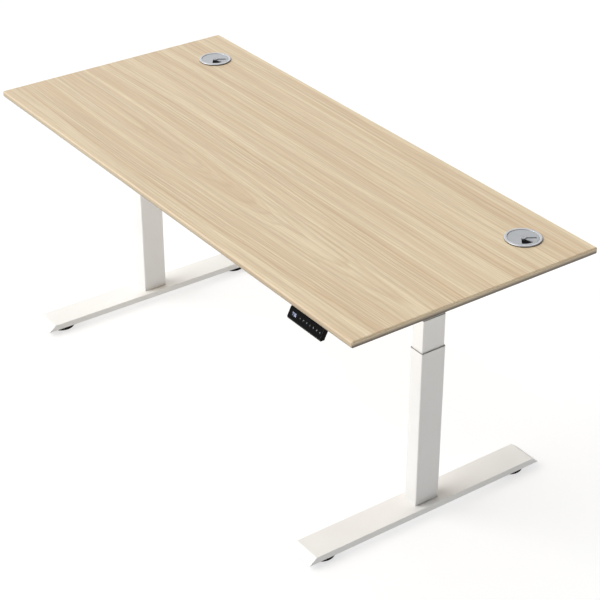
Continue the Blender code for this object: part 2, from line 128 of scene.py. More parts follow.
def turned(profile, steps=96):
    """A closed (radius, z) profile turned about Z."""
    bm = bmesh.new()
    rings = []
    for i in range(steps):
        angle = 2 * math.pi * i / steps
        cos, sin = math.cos(angle), math.sin(angle)
        rings.append([bm.verts.new((r * cos, r * sin, z)) for r, z in profile])
    for i in range(steps):
        here, there = rings[i], rings[(i + 1) % steps]
        for j in range(len(profile)):
            k = (j + 1) % len(profile)
            if profile[j][0] > 0 or profile[k][0] > 0:
                bm.faces.new((here[j], there[j], there[k], here[k]))
    bmesh.ops.remove_doubles(bm, verts=bm.verts, dist=WELD)
    return bm


def drill(radius, steps, centre, low, high):
    """A cutter for a round hole along Z, through what lies between the levels low and high."""
    return prism(circle(radius, steps, centre), "Z", low - PAST, high + PAST)


def middle_of(low, high):
    """The x and y of a box's middle."""
    return (low.x + high.x) / 2, (low.y + high.y) / 2


def block(low, high, radius=0.0):
    """A box between two corners, its upright edges rounded."""
    return prism(between(low[:2], high[:2], radius), "Z", low[2], high[2])


def bend(a, corner, b, steps=5):
    """Points on the curve from a to b that is drawn towards the corner."""
    shares = (k / steps for k in range(steps + 1))
    return [tuple(a * (1 - t) ** 2 + corner * 2 * t * (1 - t) + b * t * t) for t in shares]


def fillet(points, radius, steps=5):
    """The closed (a, b) outline with each corner rounded."""
    found = []
    count = len(points)
    for i, here in enumerate(points):
        p, q, r = (Vector(points[k % count]) for k in (i - 1, i, i + 1))
        back, on = (p - q), (r - q)
        turn = back.angle(on)
        if turn > math.radians(175):
            found.append(here)
            continue
        reach = min(radius / math.tan(turn / 2), back.length * 0.45, on.length * 0.45)
        found += bend(q + back.normalized() * reach, q, q + on.normalized() * reach, steps)
    return found


# ---- pieces

def new_object(name, data):
    obj = bpy.data.objects.new(name, data)
    bpy.context.scene.collection.objects.link(obj)
    return obj


def piece(name, bm, material, body=None, replaces=None, at=(0, 0, 0), edge=0.0,
          segments=3, sharp=SHARP):
    """A named piece from a bmesh: smooth shaded, its sharp edges rounded by edge metres."""
    bmesh.ops.recalc_face_normals(bm, faces=bm.faces)
    mesh = bpy.data.meshes.new(name)
    bm.to_mesh(mesh)
    bm.free()
    mesh.materials.append(material)
    mesh.shade_smooth()
    mesh.set_sharp_from_angle(angle=math.radians(sharp))
    obj = new_object(name, mesh)
    obj.location = at
    if edge:
        soften(obj, edge, segments)
    if body:
        dress(obj, body, replaces)
    return obj


def dress(obj, body, replaces=None):
    """Puts the finished piece on its body, with flat normals beside its rounded edges."""
    normals = obj.modifiers.new("normals", "WEIGHTED_NORMAL")
    normals.keep_sharp = True
    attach(obj, body)
    if replaces:
        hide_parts(replaces)


def soften(obj, width, segments=3):
    bevel = obj.modifiers.new("edge", "BEVEL")
    bevel.width = width
    bevel.segments = segments
    bevel.limit_method = "ANGLE"


def carve(obj, *shapes, operation="DIFFERENCE"):
    """Cuts (or joins) shapes given in obj's own frame, and leaves only the finished mesh."""
    bpy.context.view_layer.update()
    tools = []
    for bm in shapes:
        tool = piece(f"{obj.name}_tool", bm, obj.data.materials[0])
        tool.matrix_world = obj.matrix_world.copy()
        tools.append(tool)
        step = obj.modifiers.new("cut", "BOOLEAN")
        step.operation = operation
        step.object = tool
        step.solver = "EXACT"
    bake(obj)
    for tool in tools:
        bpy.data.objects.remove(tool)


def bake(obj):
    """Keeps the mesh that the modifiers give, and removes them."""
    bpy.context.view_layer.update()
    graph = bpy.context.evaluated_depsgraph_get()
    mesh = bpy.data.meshes.new_from_object(obj.evaluated_get(graph))
    obj.modifiers.clear()
    obj.data = mesh
    mesh.shade_smooth()
    mesh.set_sharp_from_angle(angle=math.radians(SHARP))


def paint(obj, *materials):
    obj.data.materials.clear()
    for material in materials:
        obj.data.materials.append(material)


def aimed(direction):
    """The turn that brings Z to this direction."""
    return Vector(direction).to_track_quat("Z", "Y").to_matrix().to_4x4()


def moved(bm, matrix):
    bmesh.ops.transform(bm, matrix=matrix, verts=bm.verts)
    return bm


def merged(shapes):
    """Several bmeshes in one."""
    whole = bmesh.new()
    for bm in shapes:
        mesh = bpy.data.meshes.new("part")
        bm.to_mesh(mesh)
        bm.free()
        whole.from_mesh(mesh)
        bpy.data.meshes.remove(mesh)
    return whole


# ---- materials

class Graph:
    """The nodes of a new material or world, with a short way to add and link them."""

    def __init__(self, name, kind="materials", shader="Principled BSDF"):
        self.owner = getattr(bpy.data, kind).new(name)
        self.owner.use_nodes = True
        self.tree = self.owner.node_tree
        self.shader = self.tree.nodes[shader]

    def add(self, kind, inputs=None, output=0, **settings):
        node = self.tree.nodes.new(f"ShaderNode{kind}")
        for key, value in settings.items():
            setattr(node, key, value)
        for key, value in (inputs or {}).items():
            self.put(node, key, value)
        return node.outputs[output]

    def put(self, node, key, value):
        if isinstance(value, bpy.types.NodeSocket):
            self.tree.links.new(value, node.inputs[key])
        else:
            node.inputs[key].default_value = value

    def set(self, **inputs):
        for key, value in inputs.items():
            self.put(self.shader, key.replace("_", " "), value)

    def place(self, scale=(1, 1, 1), location=(0, 0, 0)):
        where = self.add("TexCoord", output=3)
        return self.add("Mapping", {"Vector": where, "Scale": scale, "Location": location})

    def noise(self, vector, scale, detail=2.0, roughness=0.5):
        return self.add("TexNoise", {"Vector": vector, "Scale": scale, "Detail": detail,
                                     "Roughness": roughness})

    def math(self, operation, a, b=0.0):
        return self.add("Math", {0: a, 1: b}, operation=operation)

    def plus(self, a, b):
        return self.math("ADD", a, b)

    def minus(self, a, b):
        return self.math("SUBTRACT", a, b)

    def times(self, a, b):
        return self.math("MULTIPLY", a, b)

    def ramp(self, value, *stops):
        """Colours or greys against a value, each stop a (position, colour)."""
        socket = self.add("ValToRGB", {"Fac": value})
        ramp = socket.node.color_ramp
        while len(ramp.elements) < len(stops):
            ramp.elements.new(0.5)
        for element, (position, colour) in zip(ramp.elements, stops):
            element.position = position
            element.color = (*colour, 1) if isinstance(colour, tuple) else (colour,) * 3 + (1,)
        return socket

    def vary(self, value, colour, least):
        """A colour that falls to the least share of itself where the value is low."""
        return self.ramp(value, (0.3, tuple(least * c for c in colour)), (0.7, colour))

    def mix(self, factor, a, b, blend="MIX"):
        return self.add("MixRGB", {"Fac": factor, "Color1": a, "Color2": b}, blend_type=blend)

    def bump(self, height, strength, distance, normal=None):
        inputs = {"Height": height, "Strength": strength, "Distance": distance}
        if normal:
            inputs["Normal"] = normal
        return self.add("Bump", inputs)


def laminate(name):
    """Light maple print: growth rings cut lengthwise, so that they run in long narrow arches."""
    heart_y, rings, unevenness = 0.06, 120.0, 9.0  # rings are per metre from the heart
    late_wood, streak_tone = (0.520, 0.350, 0.200, 1), (0.500, 0.355, 0.215, 1)
    fibre_tone, pore_tone = (0.500, 0.360, 0.235, 1), (0.420, 0.280, 0.170, 1)
    g = Graph(name)
    x, y, z = g.add("SeparateXYZ", {"Vector": g.place()}).node.outputs
    slow = g.noise(g.place((0.45, 2.2, 1.0), (3.1, 0.4, 0)), 1.0)
    sway = g.times(g.minus(slow, 0.5), 0.10)
    across = g.plus(g.plus(g.minus(y, heart_y), sway), g.times(z, 0.3))
    swell = g.noise(g.place((1.3, 1.1, 1.0), (7.7, 2.0, 0)), 1.0, 2.0, 0.45)
    height = g.plus(g.times(x, 0.040), g.times(swell, 0.075))
    across, height = (g.math("POWER", g.math("ABSOLUTE", side), 2.0) for side in (across, height))
    radius = g.math("SQRT", g.plus(across, height))
    wobble = g.noise(g.place((4.0, 45.0, 45.0)), 1.0, 3.0, 0.6)
    spread = g.noise(g.add("CombineXYZ", {0: g.times(radius, 11.0)}), 1.0)
    turns = g.plus(g.times(radius, rings), wobble)
    turns = g.plus(turns, g.times(spread, unevenness))
    ring = g.math("FRACT", turns)
    late = g.ramp(ring, (0.0, 0.0), (0.55, 0.12), (0.86, 1.0), (0.97, 0.15), (1.0, 0.0))
    late = g.times(late, g.ramp(spread, (0.36, 0.15), (0.50, 0.45), (0.66, 1.0)))

    broad = g.noise(g.add("CombineXYZ", {0: g.times(radius, 34.0),
                                         1: g.times(x, 0.30)}), 1.0, 2.0, 0.55)
    tone = g.ramp(broad, (0.30, (0.860, 0.730, 0.500)), (0.46, (0.790, 0.665, 0.452)),
                  (0.60, (0.710, 0.540, 0.345)), (0.74, (0.800, 0.695, 0.492)))
    fibre = g.noise(g.place((9.0, 620.0, 620.0)), 1.0, 3.0, 0.65)
    fleck = g.noise(g.place((30.0, 1500.0, 1500.0), (0.3, 0.9, 0.2)), 1.0, 1.0, 0.5)
    pores = g.ramp(fleck, (0.60, 0.0), (0.72, 1.0))
    tone = g.mix(g.times(late, 0.80), tone, late_wood)
    streak = g.noise(g.place((2.2, 150.0, 150.0), (1.7, 0.2, 0)), 1.0, 3.0, 0.6)
    tone = g.mix(g.ramp(streak, (0.38, 0.42), (0.58, 0.0)), tone, streak_tone)
    tone = g.mix(g.ramp(fibre, (0.35, 0.34), (0.65, 0.0)), tone, fibre_tone)
    tone = g.mix(g.times(pores, 0.22), tone, pore_tone)
    relief = g.minus(fibre, g.times(pores, 0.6))
    g.set(Base_Color=tone, Normal=g.bump(relief, 0.18, 0.00012),
          Roughness=g.ramp(fibre, (0.2, 0.42), (0.8, 0.52)), Specular_IOR_Level=0.42)
    return g.owner


def edge_band(name, along, *shade):
    """Maple edge band: straight streaks along X or Y, with painted shade darker towards its lower
    edge and a painted highlight at its upper rounding.
    """
    g = Graph(name)
    fine, coarse = (7.0, 420.0, 420.0), (1.6, 90.0, 90.0)
    if along == "Y":
        fine, coarse = (420.0, 7.0, 420.0), (90.0, 1.6, 90.0)
    fibre = g.noise(g.place(fine), 1.0, 3.0, 0.6)
    streak = g.noise(g.place(coarse, (0.4, 0.7, 0.1)), 1.0)
    tone = g.ramp(streak, (0.34, (0.700, 0.580, 0.400)), (0.52, (0.655, 0.530, 0.360)),
                  (0.68, (0.570, 0.445, 0.295)))
    tone = g.mix(g.ramp(fibre, (0.35, 0.28), (0.62, 0.0)), tone, (0.500, 0.370, 0.245, 1))
    height = g.add("SeparateXYZ", {"Vector": g.place()}).node.outputs[2]
    low, high = TOP_LOW.z, TOP_HIGH.z
    share = g.times(g.minus(height, low), 1 / (high - low))
    # painted shade and painted highlight: the wood's tone times a ramp over the board's height
    tone = g.mix(1.0, tone, g.ramp(share, *shade), "MULTIPLY")
    g.set(Base_Color=tone, Normal=g.bump(fibre, 0.15, 0.0001),
          Roughness=g.ramp(fibre, (0.2, 0.36), (0.8, 0.46)))
    return g.owner


def powder_coat(name, colour):
    """White powder coat: a fine orange-peel skin with faint dulling."""
    g = Graph(name)
    peel = g.noise(g.place(), 900.0)
    cloud = g.noise(g.place(), 7.0, 3.0, 0.5)
    g.set(Base_Color=g.vary(cloud, colour, 0.955),
          Roughness=g.ramp(cloud, (0.3, 0.36), (0.7, 0.46)),
          Normal=g.bump(peel, 0.14, 0.00025))
    g.set(Specular_IOR_Level=0.45)
    return g.owner


def moulded(name, colour, roughness, grain=1400.0, depth=0.00006, metallic=0.0, coat=0.0,
            specular=0.5):
    """Moulded plastic: spark-eroded grain, with faint handling wear."""
    g = Graph(name)
    skin = g.noise(g.place(), grain, 2.0, 0.6)
    cloud = g.noise(g.place(), 22.0, 4.0, 0.6)
    g.set(Base_Color=g.vary(cloud, colour, 0.88),
          Roughness=g.ramp(cloud, (0.25, max(roughness - 0.05, 0.03)), (0.75, roughness + 0.06)),
          Normal=g.bump(skin, 0.35, depth))
    g.set(Metallic=metallic, Coat_Weight=coat, Coat_Roughness=0.06, Specular_IOR_Level=specular)
    return g.owner


def machined(name, colour, roughness, pitch=0.0):
    """Bare metal with fine turning marks, and a thread along Z when pitch is given."""
    g = Graph(name)
    marks = g.noise(g.place((60.0, 60.0, 2400.0)), 1.0, 2.0, 0.6)
    cloud = g.noise(g.place(), 40.0, 3.0, 0.6)
    normal = g.bump(marks, 0.2, 0.00005)
    if pitch:
        turns = g.add("TexWave", {"Vector": g.place(), "Scale": 0.314 / pitch, "Distortion": 0.0},
                      wave_type="BANDS", bands_direction="Z", wave_profile="TRI")
        normal = g.bump(turns.node.outputs["Fac"], 0.9, 0.0010, normal)
    g.set(Base_Color=g.vary(cloud, colour, 0.8),
          Roughness=g.ramp(cloud, (0.3, roughness), (0.7, roughness + 0.12)), Normal=normal)
    g.set(Metallic=1.0)
    return g.owner


def cast(name, colour):
    g = Graph(name)
    grit = g.noise(g.place(), 1100.0, 4.0, 0.7)
    cloud = g.noise(g.place(), 60.0, 3.0, 0.6)
    g.set(Base_Color=g.vary(cloud, colour, 0.8),
          Roughness=g.ramp(grit, (0.3, 0.42), (0.7, 0.6)), Normal=g.bump(grit, 0.5, 0.00015))
    g.set(Metallic=0.85)
    return g.owner


def circuit(name):
    g = Graph(name)
    cell = g.add("TexVoronoi", {"Vector": g.place(), "Scale": 260.0}, distance="CHEBYCHEV")
    tracks = g.ramp(cell, (0.42, 0.0), (0.48, 1.0))
    g.set(Base_Color=g.mix(tracks, (0.012, 0.10, 0.045, 1), (0.03, 0.17, 0.08, 1)),
          Roughness=g.ramp(tracks, (0.0, 0.30), (1.0, 0.42)), Normal=g.bump(tracks, 0.3, 0.00004))
    return g.owner


def chipboard(name):
    g = Graph(name)
    chips = g.add("TexVoronoi", {"Vector": g.place((1.0, 1.0, 2.2)), "Scale": 420.0}, output=1)
    tint = g.add("SeparateColor", {"Color": chips})
    g.set(Base_Color=g.ramp(tint, (0.0, (0.36, 0.24, 0.13)), (0.5, (0.50, 0.36, 0.21)),
                            (1.0, (0.62, 0.47, 0.30))),
          Roughness=g.ramp(tint, (0.0, 0.8), (1.0, 0.95)), Normal=g.bump(tint, 0.6, 0.0003))
    return g.owner


def lit_white(name, colour, strength):
    """Printed or lit marks, slightly uneven."""
    g = Graph(name)
    cloud = g.noise(g.place(), 300.0)
    tone = g.vary(cloud, colour, 0.82)
    g.set(Base_Color=tone, Emission_Color=tone, Roughness=g.ramp(cloud, (0.3, 0.40), (0.7, 0.50)))
    g.set(Emission_Strength=strength)
    return g.owner


def felt_rubber(name):
    g = Graph(name)
    grit = g.noise(g.place(), 1800.0, 3.0, 0.7)
    cloud = g.noise(g.place(), 35.0, 3.0, 0.5)
    g.set(Base_Color=g.ramp(cloud, (0.3, (0.006, 0.006, 0.006)), (0.7, (0.013, 0.012, 0.012))),
          Roughness=g.ramp(grit, (0.3, 0.62), (0.7, 0.78)), Normal=g.bump(grit, 0.4, 0.0001))
    g.set(Specular_IOR_Level=0.12)
    return g.owner


LAMINATE = laminate("maple_laminate")
CHIP = chipboard("chipboard_core")
# Stops of (share of the board's height, factor): painted shade low on each band and a painted
# highlight where it rounds into the top; the end band's painted shade is darker
LONG_BAND = edge_band("maple_band_long", "X",
                      (0.10, 0.56), (0.42, 0.82), (0.68, 0.86), (0.86, 1.12))
END_BAND = edge_band("maple_band_end", "Y",
                     (0.10, 0.10), (0.32, 0.28), (0.60, 0.85), (0.82, 1.30))
WHITE = powder_coat("white_powder_coat", (0.875, 0.868, 0.850))
OUTLET = moulded("outlet_silver_plastic", (0.55, 0.56, 0.58), 0.28, 1600.0, 0.00003, 0.45)
LID = moulded("outlet_lid_plastic", (0.42, 0.435, 0.455), 0.36, 1300.0, 0.00004, 0.30)
BLACK = moulded("black_moulded_plastic", (0.014, 0.014, 0.015), 0.45, specular=0.35)
# grey plastic collars, partly painted shade: their grey is darker than the tubes so that it also
# gives the shadow line at each seam
COLLAR = moulded("collar_grey_plastic", (0.29, 0.285, 0.28), 0.45)
# painted shade: black standing for the shade inside the outlets, under their rims and under their
# lids
PAINTED_SHADE = moulded("outlet_black_lining", (0.008, 0.007, 0.006), 0.55, specular=0.15)
GLOSS = moulded("handset_black", (0.003, 0.003, 0.0033), 0.34, 1800.0, 0.00002, specular=0.05)
# painted highlight: a lighter grey for the rounding along the handset's right front edge
EDGE_HIGHLIGHT = moulded("handset_worn_edge", (0.22, 0.22, 0.23), 0.30, 1800.0, 0.00002)
CAP = moulded("key_black", (0.005, 0.005, 0.006), 0.40, specular=0.12)
GLASS = moulded("display_smoked_window", (0.004, 0.004, 0.006), 0.12, 900.0, 0.000002,
                specular=0.12)
RUBBER = felt_rubber("glide_rubber")
JACKET = moulded("cable_jacket", (0.014, 0.014, 0.015), 0.50, 700.0, 0.00008)
STEEL = machined("machined_steel", (0.56, 0.57, 0.59), 0.26)
ZINC = machined("zinc_plated_screws", (0.62, 0.63, 0.62), 0.30)
THREAD = machined("screw_thread_steel", (0.52, 0.53, 0.55), 0.28, pitch=0.010)
BRONZE = machined("nut_bronze", (0.52, 0.35, 0.17), 0.34)
ALLOY = cast("die_cast_alloy", (0.50, 0.51, 0.53))
MOTOR = moulded("motor_black_paint", (0.022, 0.022, 0.024), 0.34, 1000.0, 0.00006, 0.0, 0.2)
BOARD = circuit("circuit_board")
DIGIT = lit_white("display_digits", (0.55, 0.62, 0.85), 0.9)
PRINT = lit_white("key_symbols", (0.52, 0.53, 0.56), 0.10)


# ---- tabletop

EDGE_ROUND, HOLE_RADIUS, HOLE_STEPS = 0.005, 0.040, 96
SEAT_DEPTH = 0.0005  # of the recess under an outlet's rim


def worktop():
    low, high = TOP_LOW, TOP_HIGH
    board = piece("worktop", block(low, high), LAMINATE)
    soften(board, EDGE_ROUND, 8)
    bake(board)
    shapes = []
    for side in SIDES:
        flange_low, flange_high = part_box(f"grommet_sleeve_{side}")
        centre = middle_of(flange_low, flange_high)
        shapes.append(drill(HOLE_RADIUS, HOLE_STEPS, centre, low.z, high.z))
        seat = circle((flange_high.x - flange_low.x) / 2 + GAP, HOLE_STEPS, centre)
        shapes.append(prism(seat, "Z", high.z - SEAT_DEPTH, high.z + PAST))
    carve(board, *shapes)
    paint(board, LAMINATE, CHIP, LONG_BAND, END_BAND)
    margin = 2 * EDGE_ROUND
    for face in board.data.polygons:
        x, y, z = (abs(v) for v in face.normal)
        if z >= 0.80:
            continue  # the upper and lower laminate, and the start of their roundings
        at = face.center
        if abs(at.x) < high.x - margin and low.y + margin < at.y < high.y - margin:
            face.material_index = 1  # the wall of a hole
        else:
            face.material_index = 3 if x > y else 2
    dress(board, "top", "tabletop")


# ---- cable outlets

def outlet(side):
    low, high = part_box(f"grommet_sleeve_{side}")
    centre = (*middle_of(low, high), TOP_HIGH.z)
    rim = [(0.0510, -0.0002), (0.0510, 0.0016)]
    rim += arc(0.0022, 5, 78, 8, (0.0488, 0.0019))
    rim += [(0.0470, 0.0042), (0.0450, 0.0040)]
    rim += arc(0.0016, 80, 170, 6, (0.0443, 0.0024))
    rim += [(0.0425, 0.0010), (0.0423, 0.0008), (0.0381, 0.0008), (0.0380, 0.0004)]
    rim += [(0.0380, -0.0406), (0.0383, -0.0419), (0.0391, -0.0419), (0.0395, -0.0406)]
    rim += [(0.0395, -0.0002)]
    sleeve = piece(f"outlet_sleeve_{side}", turned(rim, 128), OUTLET, at=centre)
    slots = []
    for k in range(3):  # the three snap tongues in the wall
        turn = Matrix.Rotation(math.radians(120 * k + 90), 4, "Z")
        for y in (-0.006, 0.006):
            slot = block((0.0365, y - 0.0006, -0.046), (0.0405, y + 0.0006, -0.021))
            slots.append(moved(slot, turn))
    carve(sleeve, *slots)
    paint(sleeve, OUTLET, PAINTED_SHADE)
    for face in sleeve.data.polygons:  # painted shade: black inside the sleeve, and a black band under the rim standing for the contact shadow there
        out, z = math.hypot(face.center.x, face.center.y), face.center.z
        face.material_index = int((out < 0.0385 and z < 0.0007) or (out > 0.0505 and z < 0.0015))
    dress(sleeve, "top", f"grommet_sleeve_{side}")

    top = 0.0030
    face = [(0, top)]
    face += arc(0.0006, 80, 5, 4, (0.0414, top - 0.0006))
    face += [(0.0420, 0.0014), (0.0417, 0.0011), (0.0377, 0.0011), (0.0377, -0.0078)]
    face += [(0.0374, -0.0080), (0.0365, -0.0080), (0.0362, -0.0078), (0.0362, 0.0011)]
    face += [(0.0032, 0.0011), (0.0032, -0.0013), (0.0048, -0.0013), (0.0048, -0.0026)]
    face += [(0.0045, -0.0028), (0, -0.0028)]
    lid = piece(f"outlet_lid_{side}", turned(face, 128), LID, at=centre)
    sector = arc(0.0352, -48, 57, 32) + arc(0.0075, 57, -90, 16)
    slope = fillet(sector, 0.0012, 4)
    carve(lid, prism(slope, "Z", 0, PAST), prism(circle(0.0026, 32), "Z", top - 0.0004, PAST))
    paint(lid, LID, PAINTED_SHADE)
    for face in lid.data.polygons:  # painted shade: black below the lid, where the light doesn't reach
        face.material_index = int(face.center.z < 0.0010)
    soften(lid, 0.00022, 2)
    dress(lid, f"lid_{side}", f"grommet_lid_{side}")

    plate = arc(0.0356, 13, 131, 36) + arc(0.0075, 131, 373, 20)[1:-1]
    outline = fillet(plate, 0.0008, 3)
    flap = piece(f"outlet_flap_{side}", prism(outline, "Z", -0.0010, 0.0008), LID, at=centre)
    carve(flap, prism(circle(0.0034, 48), "Z", -PAST, PAST))
    grip = arc(0.0330, 16, 18.6, 3) + arc(0.0120, 18.6 + 3, 16, 3)
    carve(flap, prism(grip, "Z", 0.0004, PAST))
    soften(flap, 0.0002, 2)
    dress(flap, f"flap_{side}", f"grommet_flap_{side}")


# ---- feet, glides and columns

def hex_head(radius, height):
    """A round socket head with a domed edge, its top at z = height."""
    edge = min(radius * 0.25, height * 0.5)
    profile = [(0, 0), (radius, 0), (radius, height - edge)]
    profile += arc(edge, 0, 90, 5, (radius - edge, height - edge))
    socket = radius * 0.55
    depth = height * 0.65
    profile += [(socket, height), (socket * 0.98, height - depth), (0, height - depth)]
    return turned(profile, 48)


def screws(name, places, radius, height, body):
    """Screw heads at places, each a (point, direction the head faces)."""
    heads = []
    for point, facing in places:
        heads.append(moved(hex_head(radius, height), Matrix.Translation(point) @ aimed(facing)))
    piece(name, merged(heads), ZINC, body, sharp=40)


def foot(side):
    low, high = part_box(f"foot_{side}")
    glide = {end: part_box(f"glide_{end}_{side}") for end in ("front", "back")}
    front, back = low.y, high.y
    thick, wall, run = high.z - low.z, 0.003, 0.024
    middle = (low.x + high.x) / 2
    half = (high.x - low.x) / 2
    sharp_front, sharp_back = front - 0.0010, back + 0.0010
    outline = ((sharp_front, low.z), (sharp_back, low.z),
               (sharp_back - run, high.z), (sharp_front + run, high.z))
    rounded = fillet(outline, 0.0010, 5)
    beam = piece(f"foot_beam_{side}", prism(rounded, "X", middle - half, middle + half), WHITE)
    soften(beam, 0.0013, 4)
    bake(beam)
    pitch, roof, below = run / thick, thick - wall, 0.002
    slope = wall * math.hypot(1, pitch)
    tray = (
        (sharp_front + slope - below * pitch, low.z - below),
        (sharp_back - slope + below * pitch, low.z - below),
        (sharp_back - slope - roof * pitch, low.z + roof),
        (sharp_front + slope + roof * pitch, low.z + roof),
    )
    carve(beam, prism(tray, "X", middle - half + wall, middle + half - wall))
    plates, holes = [], []
    for box_low, box_high in glide.values():
        y = (box_low.y + box_high.y) / 2
        inner = half - wall + 0.001
        plates.append(block((middle - inner, y - 0.022, low.z + 0.0003),
                            (middle + inner, y + 0.022, low.z + 0.004)))
        holes.append(prism(circle(0.0045, 32, (middle, y)), "Z", 0, low.z + PAST))
    carve(beam, *plates, operation="UNION")
    carve(beam, *holes)
    dress(beam, f"{side}_base", f"foot_{side}")

    bolts = [(middle + x, y, high.z - wall) for x in (-0.014, 0.014) for y in (-0.028, 0.028)]
    places = [(bolt, (0, 0, -1)) for bolt in bolts]
    screws(f"foot_bolts_{side}", places, 0.0052, 0.0042, f"{side}_base")

    for end, (box_low, box_high) in glide.items():
        at = (*middle_of(box_low, box_high), 0)
        radius = (box_high.x - box_low.x) / 2
        top, stud = low.z - 0.0003, box_high.z
        profile = [(0, 0.0008), (0.010, 0.0008), (0.0106, 0.0), (0.0210, 0.0), (0.0216, 0.0008),
                   (0.0240, 0.0008), (0.0246, 0.0)]
        profile += [(radius - 0.0022, 0.0)] + arc(0.0022, -90, 0, 6, (radius - 0.0022, 0.0022))
        for k in range(4):  # grip grooves round the rim
            z = 0.0040 + 0.0022 * k
            profile += [(radius, z), (radius - 0.0005, z + 0.0004), (radius - 0.0005, z + 0.0008),
                        (radius, z + 0.0012)]
        profile += arc(0.0016, 0, 90, 5, (radius - 0.0016, top - 0.0016))
        profile += [(0.0110, top), (0.0106, top - 0.0006), (0.0040, top - 0.0006)]
        threads = 14
        for k in range(threads):
            z = top + (stud - 0.0012 - top) * k / threads
            profile += [(0.0040, z), (0.0036, z + 0.0005)]
        profile += [(0.0036, stud - 0.0006), (0.0030, stud), (0, stud)]
        piece(f"glide_pad_{end}_{side}", turned(profile, 96), RUBBER, f"glide_{end}_{side}",
              f"glide_{end}_{side}", at=at)


def column(side):
    bodies = {"outer": f"{side}_base", "middle": f"{side}_mid", "inner": "top"}
    floors = {"outer": 0.006, "middle": 0.004, "inner": 0}
    corners = {"outer": 0.0034, "middle": 0.0030, "inner": 0.0026}
    wall = 0.002
    for stage, body in bodies.items():
        node = f"{stage}_tube_{side}"
        low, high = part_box(node)
        centre = middle_of(low, high)
        outside = rectangle(high.x - low.x, high.y - low.y, corners[stage], 10, centre)
        bore = (high.x - low.x - 2 * wall, high.y - low.y - 2 * wall)
        inside = rectangle(*bore, corners[stage] - wall * 0.6, 10, centre)
        bm = tube(outside, inside, "Z", low.z, high.z)
        if floors[stage]:
            plate = rectangle(bore[0] - 0.0002, bore[1] - 0.0002, 0.001, 4, centre)
            bm = merged([bm, prism(plate, "Z", low.z + 0.0002, low.z + floors[stage])])
        piece(f"column_{stage}_{side}", bm, WHITE, body, node,
              edge=0.0003, segments=2)
    for stage, body in (("lower", f"{side}_base"), ("upper", f"{side}_mid")):
        node = f"collar_{stage}_{side}"
        low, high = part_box(node)
        centre = middle_of(low, high)
        size = (high.x - low.x, high.y - low.y)
        rail = 0.0018  # the collar's wall, less the glide gap
        outside = rectangle(*size, 0.0028, 10, centre)
        inside = rectangle(size[0] - 2 * rail, size[1] - 2 * rail, 0.0014, 10, centre)
        bm = tube(outside, inside, "Z", low.z, high.z)
        piece(f"column_collar_{stage}_{side}", bm, COLLAR, body, node, edge=0.0003)


worktop()
for side in SIDES:
    outlet(side)
    foot(side)
    column(side)


# ---- steel frame under the top

def head(side):
    sign = SIDES[side]
    low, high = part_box(f"head_bracket_{side}")
    wall = 0.003
    outer = max(low.x, high.x, key=abs)
    # A folded channel: its section drawn along X, then the outer end closed.
    y, z0, z1 = high.y, low.z, high.z
    section = [(-y, z1), (-y, z0), (y, z0), (y, z1), (y - wall, z1), (y - wall, z0 + wall),
               (-y + wall, z0 + wall), (-y + wall, z1)]
    folds = {1: 0.004, 2: 0.004, 5: 0.0012, 6: 0.0012}  # the corner, and its radius
    rounded = []
    for i, p in enumerate(section):
        if i not in folds:
            rounded.append(p)
            continue
        before, q, after = Vector(section[i - 1]), Vector(p), Vector(section[(i + 1) % 8])
        a, b = ((to - q).normalized() * folds[i] for to in (before, after))
        rounded += bend(q + a, q, q + b)
    bracket = piece(f"head_channel_{side}", prism(rounded, "X", low.x, high.x), WHITE)
    end = between((-y + wall * 0.8, z0 + wall * 0.8), (y - wall * 0.8, z1), 0.0)
    carve(bracket, prism(end, "X", *sorted((outer, outer - sign * wall))), operation="UNION")
    column_x = sign * 0.718
    holes = [drill(0.012, 48, (column_x, 0), z0, z0 + wall)]
    for x in (0.612, 0.636, 0.764):
        for across in (0.036, -0.036):
            holes.append(drill(0.0026, 24, (sign * x, across), z0, z0 + wall))
    carve(bracket, *holes)
    soften(bracket, 0.0004, 2)
    dress(bracket, "top", f"head_bracket_{side}")

    middle = (z0 + z1) / 2
    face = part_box("rear_rail")[1].y
    spots = [(x, way) for x in (0.628, 0.765) for way in (-1, 1)]
    places = [((sign * x, way * face, middle), (0, way, 0)) for x, way in spots]
    screws(f"rail_bolts_{side}", places, 0.0050, 0.0030, "top")
    spots = [(x, across) for x in (0.694, 0.742) for across in (-0.040, 0.040)]
    places = [((sign * x, across, z0), (0, 0, -1)) for x, across in spots]
    screws(f"head_bolts_{side}", places, 0.0042, 0.0024, "top")


